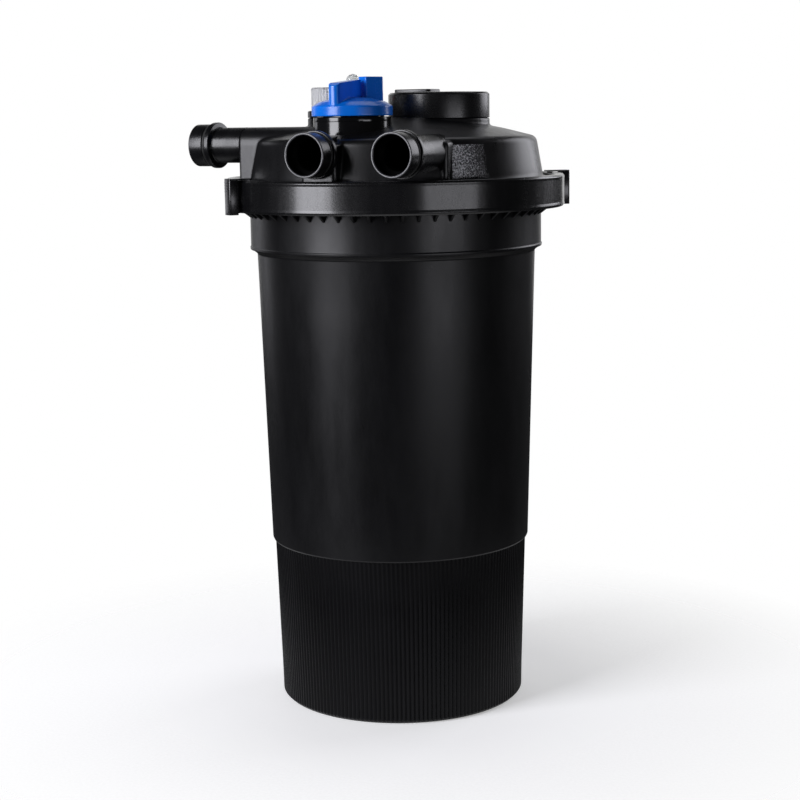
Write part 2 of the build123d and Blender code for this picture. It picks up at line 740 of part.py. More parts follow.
def media_disc(radius, low, high, through_chamber):
    """A round layer with holes for the downpipe, the tie rods and the UV chamber."""
    post(radius, low, high)
    post(floor_hole + 4, low, high, down_centre, Mode.SUBTRACT)
    for angle in rod_angles:
        post(rod_radius + 0.5, low, high, polar(rod_circle, angle)[:2], Mode.SUBTRACT)
    if through_chamber:
        post(chamber_radius + 1, low, high, uv_centre, Mode.SUBTRACT)


def grid_slots(low, high):
    """Cut a field of square water passages through a support plate."""
    pitch = 18.0
    cells = int(grid_radius // pitch)
    for row in range(-cells, cells + 1):
        for column in range(-cells, cells + 1):
            spot = Vector(row * pitch, column * pitch)
            clear_of_rods = min((spot - Vector(*polar(rod_circle, angle)[:2])).length
                                for angle in rod_angles) > 18
            clear_of_pipe = (spot - Vector(*down_centre)).length > 28
            clear_of_lamp = (spot - Vector(*uv_centre)).length > 46
            if spot.length < grid_radius - 12 and clear_of_rods and clear_of_pipe and clear_of_lamp:
                with Locations((spot.X, spot.Y, low)):
                    Box(11, 11, high - low, align=STAND_ON, mode=Mode.SUBTRACT)


with BuildPart() as bottom_grid:
    media_disc(grid_radius, grid_low, grid_low + grid_thickness, False)
    for leg in range(6):
        post(6.0, floor, grid_low + 1, polar(grid_radius - 8, 60 * leg)[:2])
    grid_slots(grid_low, grid_low + grid_thickness)
save(bottom_grid, "bottom_grid")

with BuildPart() as divider_grid:
    media_disc(grid_radius + 3, divider_low, divider_low + grid_thickness, False)
    grid_slots(divider_low, divider_low + grid_thickness)
save(divider_grid, "divider_grid")

with BuildPart() as bio_media:
    for height in ball_layers:
        for row in range(-3, 4):
            for column in range(-3, 4):
                spot = Vector(column * ball_pitch + (row % 2) * ball_pitch / 2, row * ball_pitch * 0.87)
                clear_of_rods = min((spot - Vector(*polar(rod_circle, angle)[:2])).length
                                    for angle in rod_angles) > ball_radius + rod_radius + 1
                clear_of_pipe = (spot - Vector(*down_centre)).length > ball_radius + floor_hole + 4
                if spot.length < vessel_bore(height) - ball_radius - 4 and clear_of_rods and clear_of_pipe:
                    with Locations((spot.X, spot.Y, height)):
                        Sphere(ball_radius)
save(bio_media, "bio_media")

for layer, foam_name in enumerate(foam_names):
    layer_low = foam_low + layer * (foam_height + foam_gap)
    with BuildPart() as foam:
        media_disc(vessel_bore(layer_low) - foam_side_gap, layer_low, layer_low + foam_height,
                   layer_low + foam_height > chamber_low)
    save(foam, foam_name)

foam_top = foam_low + len(foam_names) * (foam_height + foam_gap)
with BuildPart() as top_plate:
    media_disc(grid_radius + 16, foam_top, foam_top + grid_thickness, True)
    grid_slots(foam_top, foam_top + grid_thickness)
save(top_plate, "top_plate")

with BuildPart() as tie_rods:
    for angle in rod_angles:
        post(rod_radius, grid_low - 6, foam_top + 22, polar(rod_circle, angle)[:2])
        post(rod_radius + 4, grid_low - 8, grid_low, polar(rod_circle, angle)[:2])
save(tie_rods, "tie_rods")

with BuildPart() as tie_rod_nuts:
    for angle in rod_angles:
        with BuildSketch(Plane.XY.offset(foam_top + grid_thickness)) as nut_plan:
            with Locations(polar(rod_circle, angle)[:2]):
                RegularPolygon(9.0, 6)
                Circle(rod_radius, mode=Mode.SUBTRACT)
        extrude(nut_plan.sketch, 10.0)
save(tie_rod_nuts, "tie_rod_nuts")
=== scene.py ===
"""Pressurised pond filter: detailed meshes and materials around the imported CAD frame."""
import json
from math import ceil, cos, pi, radians, sin, tan

import bmesh
import bpy
from mathutils import Matrix, Vector, noise


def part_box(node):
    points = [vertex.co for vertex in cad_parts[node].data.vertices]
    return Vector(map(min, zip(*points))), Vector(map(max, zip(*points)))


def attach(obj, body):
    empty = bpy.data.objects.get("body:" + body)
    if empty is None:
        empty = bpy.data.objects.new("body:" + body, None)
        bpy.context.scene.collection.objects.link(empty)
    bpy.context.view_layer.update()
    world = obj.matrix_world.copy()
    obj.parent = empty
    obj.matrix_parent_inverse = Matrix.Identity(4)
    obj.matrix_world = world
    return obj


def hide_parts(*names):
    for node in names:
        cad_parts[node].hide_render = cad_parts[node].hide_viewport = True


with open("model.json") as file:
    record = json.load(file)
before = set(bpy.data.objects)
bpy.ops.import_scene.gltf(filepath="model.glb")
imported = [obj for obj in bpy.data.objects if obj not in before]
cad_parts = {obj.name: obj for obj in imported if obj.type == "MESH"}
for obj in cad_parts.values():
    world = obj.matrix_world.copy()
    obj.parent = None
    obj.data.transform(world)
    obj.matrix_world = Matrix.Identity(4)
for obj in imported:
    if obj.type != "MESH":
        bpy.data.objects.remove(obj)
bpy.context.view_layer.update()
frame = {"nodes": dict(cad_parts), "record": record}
MM = 0.001
UP = Vector((0, 0, 1))
RIGHT = Vector((1, 0, 0))        # seen from the side of the front ports
INWARDS = Vector((0, 1, 0))      # from the front ports towards the back


# ---- places read from the frame -------------------------------------------------------------
def middle(node):
    """Centre of a CAD node's box."""
    low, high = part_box(node)
    return (low + high) / 2


valve_axis = middle("valve_housing")
valve_low, valve_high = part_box("valve_housing")
valve_radius = (valve_high.x - valve_low.x) / 2 / MM
head_axis = middle("quartz_sleeve")
sight_axis = middle("sight_glass")
indicator_axis = middle("indicator_dome")
inlet_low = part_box("inlet_spigot")[0]
outlet_low, outlet_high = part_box("outlet_spigot")
waste_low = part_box("waste_spigot")[0]

# ---- sizes shared by several pieces, in millimetres -----------------------------------------
SPLIT = 571.5            # height where the vessel's flange meets the lid's
FLANGE_RADIUS = 183.5
LID_FLANGE_TOP = 586.5
WALL_LOW = (163.0, 596.0)      # radius and height at the foot of the dome's leaning wall
WALL_HIGH = (156.9, 631.4)     # and at the dome's shoulder
TUBE_RADIUS = 19.25      # outside of every hose port's tube
TUBE_BORE = 16.5
PORT_COLLAR = 23.0       # collar that a hose fits over
PORT_RING = 25.0         # ring behind the collar
PORT_SEAT = 20.4         # socket inside the mouth
SEAL_GROOVE = 20.3
PLUG_RADIUS = 17.2       # narrow end of the side port inside the lid
PLUG_BORE = 15.0
PORT_GAP = 0.2           # between a port or the valve and its hole in the lid
DUCT_RADIUS = 13.5       # cross duct from the outlet to the valve
DUCT_BORE = 11.0
DUCT_LINE = -114.0       # where the duct's axis lies, front to back
DUCT_HEIGHT = 611.0
FLOOR_HOLE = 12.0        # openings in the valve's floor
FLOOR_HOLE_ASIDE = 17.0
FLOOR_HOLE_LINE = -92.0
HEAD_RADIUS = 56.0       # outside and inside of the UV head's skirt
HEAD_INNER = 52.4
VALVE_COVER_LOW = 650.0
VALVE_TOP = 655.0


# ---- mesh helpers ---------------------------------------------------------------------------
ARC_STEPS = 5


def rounded(points):
    """Outline points from (x, y) or (x, y, round) corners; rounded corners become arcs."""
    result = []
    count = len(points)
    for index, corner in enumerate(points):
        here = Vector(corner[:2])
        size = corner[2] if len(corner) > 2 else 0
        if not size:
            result.append(here)
            continue
        before = Vector(points[index - 1][:2]) - here
        after = Vector(points[(index + 1) % count][:2]) - here
        half = before.angle(after) / 2
        reach = min(size / tan(half), before.length * 0.49, after.length * 0.49)
        size = reach * tan(half)
        bisector = (before.normalized() + after.normalized()).normalized()
        centre = here + bisector * (size / sin(half))
        first = here + before.normalized() * reach - centre
        last = here + after.normalized() * reach - centre
        turn = first.angle_signed(last)
        for step in range(ARC_STEPS + 1):
            angle = -turn * step / ARC_STEPS
            spun = Vector((first.x * cos(angle) - first.y * sin(angle),
                           first.x * sin(angle) + first.y * cos(angle)))
            result.append(centre + spun)
    return result


def subdivide(points, longest):
    """Add points so that no span of an open outline is longer than a length."""
    result = [points[0]]
    for start, end in zip(points, points[1:]):
        parts = max(1, ceil((end - start).length / longest))
        result += [start.lerp(end, part / parts) for part in range(1, parts + 1)]
    return result


def link(name, mesh):
    piece = bpy.data.objects.new(name, mesh)
    bpy.context.scene.collection.objects.link(piece)
    return piece


def finished(name, bm, sharp=35):
    """Turn a bmesh into an object with smooth shading between sharp edges."""
    bmesh.ops.recalc_face_normals(bm, faces=bm.faces)
    mesh = bpy.data.meshes.new(name)
    bm.to_mesh(mesh)
    bm.free()
    mesh.shade_smooth()
    mesh.set_sharp_from_angle(angle=radians(sharp))
    return link(name, mesh)


def lathe(name, outline, origin=(0, 0, 0), along=UP, across=RIGHT, segments=192,
          sweep=(0, 360), wave=None, longest=None, sharp=35):
    """Revolve a closed outline of (radius, height[, round]) corners, in millimetres."""
    points = rounded(outline)
    if longest:
        points = subdivide(points + [points[0]], longest)[:-1]
    along = Vector(along)
    across = Vector(across)
    third = along.cross(across)
    whole = abs(sweep[1] - sweep[0]) >= 360
    steps = segments if whole else segments + 1
    bm = bmesh.new()
    rings = []
    pole_height = {}
    for step in range(steps):
        angle = radians(sweep[0] + (sweep[1] - sweep[0]) * step / segments)
        ring = []
        for point in points:
            radius, height = point
            if radius < 1e-6:
                key = round(height, 5)
                if key not in pole_height:
                    pole_height[key] = bm.verts.new(Vector(origin) + along * height * MM)
                ring.append(pole_height[key])
                continue
            if wave:
                radius, height = wave(radius, height, angle)
            spoke = across * cos(angle) + third * sin(angle)
            ring.append(bm.verts.new(Vector(origin) + (along * height + spoke * radius) * MM))
        rings.append(ring)
    pairs = list(zip(rings, rings[1:])) + ([(rings[-1], rings[0])] if whole else [])
    for one, two in pairs:
        for index in range(len(points)):
            after = (index + 1) % len(points)
            corners = []
            for vertex in (one[index], one[after], two[after], two[index]):
                if vertex not in corners:
                    corners.append(vertex)
            if len(corners) > 2:
                bm.faces.new(corners)
    if not whole:
        bm.faces.new(rings[0])
        bm.faces.new(rings[-1])
    return finished(name, bm, sharp)


def prism(name, plan, low, high, bevel=0.6, origin=(0, 0, 0), along=UP, across=RIGHT,
          segments=3, sharp=35):
    """Extrude a plan of (x, y[, round]) corners, in millimetres, and round all of its edges."""
    points = rounded(plan)
    along = Vector(along)
    across = Vector(across)
    third = along.cross(across)
    bm = bmesh.new()

    def place(point, height):
        return Vector(origin) + (across * point.x + third * point.y + along * height) * MM

    bottom = [bm.verts.new(place(point, low)) for point in points]
    top = [bm.verts.new(place(point, high)) for point in points]
    bm.faces.new(bottom)
    bm.faces.new(top)
    count = len(points)
    for index in range(count):
        after = (index + 1) % count
        bm.faces.new((bottom[index], bottom[after], top[after], top[index]))
    bmesh.ops.recalc_face_normals(bm, faces=bm.faces)
    if bevel:
        edges = [e for e in bm.edges if e.calc_face_angle(0) > radians(30)]
        bmesh.ops.bevel(bm, geom=edges, offset=bevel * MM, segments=segments, profile=0.5,
                        affect="EDGES", clamp_overlap=True)
    return finished(name, bm, sharp)


def joined(name, pieces, sharp=35):
    """Several objects as one mesh."""
    bm = bmesh.new()
    for piece in pieces:
        bm.from_mesh(piece.data)
        bpy.data.objects.remove(piece)
    return finished(name, bm, sharp)


def applied(piece):
    """Replace a piece's mesh with what its modifiers make of it."""
    bpy.context.view_layer.update()
    shown = piece.evaluated_get(bpy.context.evaluated_depsgraph_get())
    mesh = bpy.data.meshes.new_from_object(shown)
    piece.modifiers.clear()
    piece.data = mesh
    return piece


def moulded_together(name, pieces, voxel, smooth=6, sharp=180):
    """One moulding from overlapping closed pieces, with small fillets where they meet."""
    piece = joined(name, pieces)
    remesh = piece.modifiers.new("remesh", "REMESH")
    remesh.mode = "VOXEL"
    remesh.voxel_size = voxel * MM
    remesh.use_smooth_shade = True
    ease = piece.modifiers.new("ease", "SMOOTH")
    ease.factor = 0.5
    ease.iterations = smooth
    applied(piece)
    piece.data.shade_smooth()
    if sharp < 180:
        piece.data.set_sharp_from_angle(angle=radians(sharp))
    return piece


def cut(piece, cutters, sharp=38):
    """Take the cutters' volumes out of a piece."""
    for cutter in cutters:
        step = piece.modifiers.new("cut", "BOOLEAN")
        step.operation = "DIFFERENCE"
        step.solver = "MANIFOLD"
        step.object = cutter
        applied(piece)
        bpy.data.objects.remove(cutter)
    piece.data.shade_smooth()
    piece.data.set_sharp_from_angle(angle=radians(sharp))
    return piece


def combine(piece, other, operation):
    """Union or intersection of two closed pieces; the second one is used up."""
    step = piece.modifiers.new("combine", "BOOLEAN")
    step.operation = operation
    step.solver = "MANIFOLD"
    step.object = other
    applied(piece)
    bpy.data.objects.remove(other)


def cylinder(name, radius, start, way, length, segments=96):
    """A plain closed cylinder, used as a cutter or inside a moulding."""
    way = Vector(way)
    across = UP if abs(way.z) < 0.5 else RIGHT
    return lathe(name, [(0, 0), (radius, 0), (radius, length), (0, length)], origin=start,
                 along=way, across=across, segments=segments)


# ---- materials ------------------------------------------------------------------------------
class Nodes:
    """Small helper that adds nodes to one material."""

    def __init__(self, name):
        self.material = bpy.data.materials.new(name)
        self.material.use_nodes = True
        self.tree = self.material.node_tree
        self.shader = self.tree.nodes["Principled BSDF"]
        self.coordinates = self.add("ShaderNodeTexCoord").outputs["Object"]

    def add(self, kind, **settings):
        node = self.tree.nodes.new(kind)
        for key, value in settings.items():
            setattr(node, key, value)
        return node

    def join(self, source, target):
        self.tree.links.new(source, target)

    def noise(self, scale, detail=3.0, rough=0.55, stretch=(1, 1, 1)):
        mapping = self.add("ShaderNodeMapping")
        mapping.inputs["Scale"].default_value = stretch
        self.join(self.coordinates, mapping.inputs["Vector"])
        field = self.add("ShaderNodeTexNoise")
        field.inputs["Scale"].default_value = scale
        field.inputs["Detail"].default_value = detail
        field.inputs["Roughness"].default_value = rough
        self.join(mapping.outputs["Vector"], field.inputs["Vector"])
        return field.outputs["Fac"]

    def cells(self, scale, feature="F1"):
        field = self.add("ShaderNodeTexVoronoi", feature=feature)
        field.inputs["Scale"].default_value = scale
        self.join(self.coordinates, field.inputs["Vector"])
        return field.outputs["Distance"]

    def ramp(self, source, stops):
        node = self.add("ShaderNodeValToRGB")
        elements = node.color_ramp.elements
        while len(elements) < len(stops):
            elements.new(0.5)
        for element, (place, colour) in zip(elements, stops):
            element.position = place
            element.color = colour if len(colour) == 4 else (*colour, 1)
        self.join(source, node.inputs["Fac"])
        return node.outputs["Color"]

    def span(self, source, low, high, new_low, new_high):
        node = self.add("ShaderNodeMapRange")
        limits = {"From Min": low, "From Max": high, "To Min": new_low, "To Max": new_high}
        for key, value in limits.items():
            node.inputs[key].default_value = value
        self.join(source, node.inputs["Value"])
        return node.outputs["Result"]

    def math(self, operation, one, two):
        node = self.add("ShaderNodeMath", operation=operation)
        for socket, value in zip(node.inputs, (one, two)):
            if isinstance(value, (int, float)):
                socket.default_value = value
            else:
                self.join(value, socket)
        return node.outputs["Value"]

    def bump(self, height, strength, distance, under=None):
        node = self.add("ShaderNodeBump")
        node.inputs["Strength"].default_value = strength
        node.inputs["Distance"].default_value = distance
        self.join(height, node.inputs["Height"])
        if under is not None:
            self.join(under, node.inputs["Normal"])
        return node.outputs["Normal"]


def shade(colour, factor):
    return tuple(min(1.0, channel * factor) for channel in colour[:3])


def moulded(name, colour, gloss, grain=0.25, flow=0.15, specular=0.5, coat=0.0, dust=0.35,
            matt_below=None):
    """Injection-moulded plastic: fine grain, slow flow waves, cloudy gloss and a little dust."""
    n = Nodes(name)
    cloudy = n.noise(9.0, 5.0, 0.6)
    smear = n.noise(26.0, 4.0, 0.65, stretch=(1, 1, 0.25))
    specks = n.noise(900.0, 2.0, 0.5)
    tone = n.math("ADD", n.math("MULTIPLY", cloudy, 0.6), n.math("MULTIPLY", smear, 0.4))
    dusty = n.ramp(tone, [(0.35, shade(colour, 0.72)), (0.52, shade(colour, 1.0)),
                          (0.72, shade(colour, 1.0 + dust))])
    n.join(dusty, n.shader.inputs["Base Color"])
    wander = n.math("ADD", n.span(smear, 0.3, 0.7, -0.05, 0.06), n.span(specks, 0.3, 0.7, -0.03, 0.03))
    n.join(n.math("ADD", wander, gloss), n.shader.inputs["Roughness"])
    if matt_below:
        split = n.add("ShaderNodeSeparateXYZ")
        n.join(n.coordinates, split.inputs["Vector"])
        n.join(n.span(split.outputs["Z"], matt_below, matt_below + 0.001, specular / 3, specular),
               n.shader.inputs["Specular IOR Level"])
    waves = n.bump(n.noise(14.0, 2.0, 0.4, stretch=(1, 1, 0.35)), flow, 0.004)
    fine = n.bump(n.noise(2200.0, 2.0, 0.6), grain, 0.00012, under=waves)
    n.join(fine, n.shader.inputs["Normal"])
    n.shader.inputs["Specular IOR Level"].default_value = specular
    n.shader.inputs["Coat Weight"].default_value = coat
    n.shader.inputs["Coat Roughness"].default_value = 0.12
    return n.material


def stippled(name, colour):
    """Spark-eroded rough patch on a moulding, with a painted sheen of light speckles."""
    n = Nodes(name)
    pits = n.noise(640.0, 3.0, 0.75)
    split = n.add("ShaderNodeSeparateXYZ")
    n.join(n.coordinates, split.inputs["Vector"])
    # Painted highlight: the speckles are painted fainter from the patch's front end towards its back end.
    painted_sheen = n.math("MULTIPLY", pits, n.span(split.outputs["Y"], -0.1, -0.069, 1.0, 0.66))
    n.join(n.ramp(painted_sheen, [(0.38, shade(colour, 0.06)), (0.45, shade(colour, 0.7)),
                         (0.56, shade(colour, 4.0))]), n.shader.inputs["Base Color"])
    n.join(n.span(pits, 0.3, 0.7, 0.28, 0.5), n.shader.inputs["Roughness"])
    n.shader.inputs["Specular IOR Level"].default_value = 0.45
    n.join(n.bump(pits, 0.9, 0.0009), n.shader.inputs["Normal"])
    return n.material


def rubber(name):
    n = Nodes(name)
    bloom = n.noise(60.0, 4.0, 0.6)
    n.join(n.ramp(bloom, [(0.3, (0.008, 0.008, 0.008)), (0.75, (0.022, 0.022, 0.021))]),
           n.shader.inputs["Base Color"])
    n.join(n.span(bloom, 0.3, 0.7, 0.45, 0.65), n.shader.inputs["Roughness"])
    n.join(n.bump(n.noise(1500.0), 0.3, 0.0002), n.shader.inputs["Normal"])
    return n.material


def clear(name, colour, gloss, weight=0.85):
    """Clear or slightly milky plastic or glass."""
    n = Nodes(name)
    film = n.noise(40.0, 4.0, 0.6)
    n.join(n.ramp(film, [(0.3, shade(colour, 0.93)), (0.7, shade(colour, 1.03))]),
           n.shader.inputs["Base Color"])
    n.join(n.span(film, 0.3, 0.7, gloss, gloss + 0.08), n.shader.inputs["Roughness"])
    n.join(n.bump(n.noise(300.0, 2.0), 0.05, 0.0005), n.shader.inputs["Normal"])
    n.shader.inputs["Transmission Weight"].default_value = weight
    n.shader.inputs["IOR"].default_value = 1.46
    return n.material


def foam(name, colour):
    """Open-cell foam."""
    n = Nodes(name)
    pores = n.cells(420.0)
    n.join(n.ramp(pores, [(0.1, shade(colour, 1.2)), (0.45, shade(colour, 0.45))]),
           n.shader.inputs["Base Color"])
    n.shader.inputs["Roughness"].default_value = 0.9
    n.join(n.bump(pores, 1.0, 0.002), n.shader.inputs["Normal"])
    return n.material


def steel(name):
    n = Nodes(name)
    n.shader.inputs["Metallic"].default_value = 1.0
    marks = n.noise(120.0, 4.0, 0.6, stretch=(1, 1, 12))
    n.join(n.ramp(marks, [(0.3, (0.42, 0.42, 0.43)), (0.7, (0.62, 0.62, 0.63))]),
           n.shader.inputs["Base Color"])
    n.join(n.span(marks, 0.3, 0.7, 0.22, 0.38), n.shader.inputs["Roughness"])
    n.join(n.bump(marks, 0.15, 0.0002), n.shader.inputs["Normal"])
    return n.material


BLACK = (0.0036, 0.0036, 0.0042)
finish = {
    "vessel_plastic": moulded("vessel_plastic", BLACK, 0.34, grain=0.22, flow=0.12, specular=0.36,
                              matt_below=0.183),
    "lid_plastic": moulded("lid_plastic", (0.0048, 0.0048, 0.0055), 0.31, grain=0.4, flow=0.08,
                           specular=0.45),
    "ring_plastic": moulded("ring_plastic", BLACK, 0.24, grain=0.12, flow=0.28, specular=0.5,
                            coat=0.25),
    "port_plastic": moulded("port_plastic", BLACK, 0.27, grain=0.14, flow=0.12, specular=0.45),
    "head_plastic": moulded("head_plastic", (0.0055, 0.0055, 0.0062), 0.27, grain=0.25,
                            flow=0.1, specular=0.5),
    "knob_blue": moulded("knob_blue", (0.002, 0.175, 0.80), 0.26, grain=0.10, flow=0.06,
                         specular=0.4, coat=0.1, dust=0.12),
    "inner_plastic": moulded("inner_plastic", (0.03, 0.03, 0.032), 0.45),
    "inner_white": moulded("inner_white", (0.62, 0.61, 0.57), 0.42, dust=0.08),
    "float_red": moulded("float_red", (0.55, 0.03, 0.02), 0.3, dust=0.1),
    "seal_rubber": rubber("seal_rubber"),
    "clear_plastic": clear("clear_plastic", (0.93, 0.95, 0.95), 0.08),
    "quartz": clear("quartz", (0.96, 0.97, 1.0), 0.02, weight=1.0),
    "lamp_glass": clear("lamp_glass", (0.86, 0.88, 0.9), 0.1, weight=0.5),
    "screw_steel": steel("screw_steel"),
    "foam_coarse": foam("foam_coarse", (0.02, 0.10, 0.34)),
    "foam_medium": foam("foam_medium", (0.62, 0.46, 0.07)),
    "foam_fine": foam("foam_fine", (0.05, 0.20, 0.06)),
}
# The rough patch's light grey colour is painted sheen, standing in for the glint of light on it.
stipple = stippled("lid_stipple", (0.24, 0.24, 0.26))
# Painted shade: the inside of each port's bore gets a darker, matt black than the port itself.
port_bore_painted_shade = moulded("port_bore_painted_shade", (0.0016, 0.0016, 0.0018), 0.65, grain=0.5, specular=0.05)
# Lighter grey front rim of each port's mouth.
port_rim = moulded("port_rim", (0.035, 0.035, 0.04), 0.3, grain=0.3, specular=0.6, dust=1.2)
valve_gloss = moulded("valve_gloss", BLACK, 0.13, grain=0.06, flow=0.05, specular=0.55)
# Painted light: the arm's flanks get a brighter blue than the rest of the knob, nearly without gloss.
knob_flank_painted_light = moulded("knob_flank_painted_light", (0.0005, 0.14, 0.95), 0.7, grain=0.5, specular=0.03, dust=0.12)
milky = clear("sight_plastic", (0.97, 0.98, 0.98), 0.25, weight=0.7)

body_of = {}
for body_name, members in frame["record"]["behaviour"]["bodies"].items():
    for member in members:
        body_of[member] = body_name
slot_of = {part["node"]: part["material_slot"] for part in frame["record"]["subparts"]}
for node_name, node_object in frame["nodes"].items():
    node_object.data.materials.clear()
    node_object.data.materials.append(finish[slot_of[node_name]])


def stands_for(piece, node, look=None):
    """Give a piece the finish for its CAD node's slot and its body, and hide the CAD node it stands for.
    """
    piece.data.materials.clear()
    piece.data.materials.append(look or finish[slot_of[node]])
    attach(piece, body_of[node])
    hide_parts(node)
    return piece


# ---- vessel ---------------------------------------------------------------------------------
RIB_COUNT = 180
RIB_DEPTH = 1.5
RIB_LOW = 3.0
RIB_HIGH = 181.5
GUSSET_COUNT = 60


def ribbed(radius, height, angle):
    """Sink the ribbed foot's wall between its vertical ribs."""
    if height > RIB_HIGH + 1 or height < RIB_LOW or radius < 137:
        return radius, height
    fade = min(1.0, (height - RIB_LOW) / 1.5, max(0.0, (RIB_HIGH - height) / 1.0))
    phase = (angle * RIB_COUNT / (2 * pi)) % 1.0
    valley = 0.5 - 0.5 * cos(2 * pi * phase)
    return radius - RIB_DEPTH * fade * valley ** 1.5, height


def make_vessel():
    shell = lathe("vessel_shell", [
        (0, 0), (130, 0, 1), (134.5, 0.5, 2), (138, 4, 2.5), (138.5, 30), (143, RIB_HIGH - 0.5),
        (143, 183, 0.3), (145.3, 183, 0.5), (146, 184.5, 0.6), (155, 507, 3), (159.6, 510.6, 1.5),
        (160.6, 511.2, 0.5), (162.6, 511.6, 0.7), (162.8, 514.2, 0.8), (162.0, 515.4, 0.8),
        (162, 556, 1.5), (164, 558.5, 1), (FLANGE_RADIUS, 558.5, 0.6),
        (FLANGE_RADIUS, SPLIT, 0.4), (172, SPLIT), (172, SPLIT - 4), (166, SPLIT - 4),
        (166, SPLIT), (158, SPLIT, 0.6), (158, 516, 3),
        (151, 503, 3), (142, 187, 2), (139, 179, 2), (134, 9, 3), (130, 5, 2), (0, 5),
    ], segments=RIB_COUNT * 8, wave=ribbed, longest=60)
    gussets = []
    for index in range(GUSSET_COUNT):
        turn = radians(360 * index / GUSSET_COUNT)
        out = Vector((cos(turn), sin(turn), 0))
        side = UP.cross(out)
        gussets.append(prism("gusset", [(161, 546.8), (162.2, 546.8, 0.6), (176.5, 557.6, 0.8),
                                        (176.5, 559), (161, 559)], -1.5, 1.5, bevel=0.35,
                             along=-side, across=out, segments=1))
    return joined("vessel", [shell, *gussets], sharp=40)


stands_for(make_vessel(), "vessel")


# ---- lid ------------------------------------------------------------------------------------
BLOCK_HALF = 21.0
BLOCK_LIMIT = 176.0
BLOCK_LOW = 575.0
BLOCK_ABOVE_PORT = 12.0
SIDE_BLOCK_FACE = -130.0


def port_block(name, centre, half, top):
    """The rectangular boss that carries a port through the dome's wall."""
    x, y = centre
    plan = [(x - half[0], y - half[1]), (x + half[0], y - half[1]),
            (x + half[0], y + half[1]), (x - half[0], y + half[1])]
    block = prism(name, plan, BLOCK_LOW, top, bevel=4.5, segments=6)
    keep = cylinder("keep", BLOCK_LIMIT, (0, 0, 0.57), UP, 80, segments=256)
    combine(block, keep, "INTERSECT")
    return block


def make_lid():
    sight = (sight_axis.x, sight_axis.y, 0)
    inlet_z = middle("inlet_spigot").z / MM
    waste_z = middle("waste_spigot").z / MM
    outlet_x = outlet_high.x / MM - PORT_RING
    waste_y = middle("waste_spigot").y / MM
    dome = lathe("dome", [
        (0, 562), (157.5, 562, 1), (157.5, SPLIT), (FLANGE_RADIUS, SPLIT, 0.5),
        (FLANGE_RADIUS, LID_FLANGE_TOP, 0.6), (165.9, LID_FLANGE_TOP, 1.2), (163.7, 590.5, 1.5),
        (*WALL_LOW, 4), (WALL_HIGH[0], WALL_HIGH[1] - 0.2, 9), (120, 640.7, 60),
        (60, 653.0, 40), (0, 654.4),
    ], segments=256, longest=14)
    parts = [
        dome,
        port_block("inlet_block", (0, -155), (BLOCK_HALF, 17.5), inlet_z + BLOCK_ABOVE_PORT),
        port_block("outlet_block", (outlet_x, -103.5), (BLOCK_HALF, 13.5), inlet_z + BLOCK_ABOVE_PORT),
        prism("waste_block", [(SIDE_BLOCK_FACE, waste_y - TUBE_RADIUS), (-90, waste_y - TUBE_RADIUS),
                              (-90, waste_y + TUBE_RADIUS),
                              (SIDE_BLOCK_FACE, waste_y + TUBE_RADIUS)],
              BLOCK_LOW, waste_z, bevel=0),
        lathe("head_seat", [(0, 636), (HEAD_RADIUS, 636), (HEAD_RADIUS, 652, 0.3),
                            (HEAD_INNER - 0.6, 652), (HEAD_INNER - 0.6, 662, 1), (0, 662)],
              origin=(head_axis.x, head_axis.y, 0), segments=160),
        lathe("sight_seat", [(0, 640), (24, 640), (24, 654.3, 1), (19.8, 654.3), (19.8, 657, 0.5),
                             (0, 657)], origin=sight, segments=96),
        cylinder("waste_saddle", TUBE_RADIUS, (SIDE_BLOCK_FACE * MM, waste_y * MM, waste_z * MM),
                 (1, 0, 0), 92),
    ]
    lid = moulded_together("lid", parts, 1.15, smooth=5)
    cutters = [
        lathe("cavity", [(0, 555), (153, 555), (153, 579.5), (159, 592.5), (152.8, 628.2),
                         (120, 636.8), (60, 649.2), (0, 650)], segments=256),
        cylinder("valve_hole", valve_radius + PORT_GAP, (valve_axis.x, valve_axis.y, 0.6), UP, 70),
        cylinder("lamp_hole", 30.0, (head_axis.x, head_axis.y, 0.6), UP, 80),
        cylinder("sight_hole", 14.0, (sight_axis.x, sight_axis.y, 0.63), UP, 40),
        cylinder("indicator_hole", 8.0, (indicator_axis.x, indicator_axis.y, 0.63), UP, 40),
        cylinder("inlet_hole", TUBE_RADIUS + PORT_GAP, (0, -0.11, inlet_z * MM), -INWARDS, 90),
        cylinder("outlet_hole", TUBE_RADIUS + PORT_GAP, (outlet_x * MM, -0.0958, inlet_z * MM),
                 -INWARDS, 90),
        cylinder("waste_hole", PLUG_RADIUS + PORT_GAP, (-0.03, waste_y * MM, waste_z * MM),
                 -RIGHT, 160),
        cylinder("waste_clear", TUBE_RADIUS + 0.15,
                 (SIDE_BLOCK_FACE * MM, waste_y * MM, waste_z * MM), -RIGHT, 40),
    ]
    return cut(lid, cutters)


stands_for(make_lid(), "lid")


def wall_radius(height):
    """Outer radius of the dome's leaning wall."""
    lean = (WALL_LOW[0] - WALL_HIGH[0]) / (WALL_HIGH[1] - WALL_LOW[1])
    return WALL_LOW[0] - (height - WALL_LOW[1]) * lean


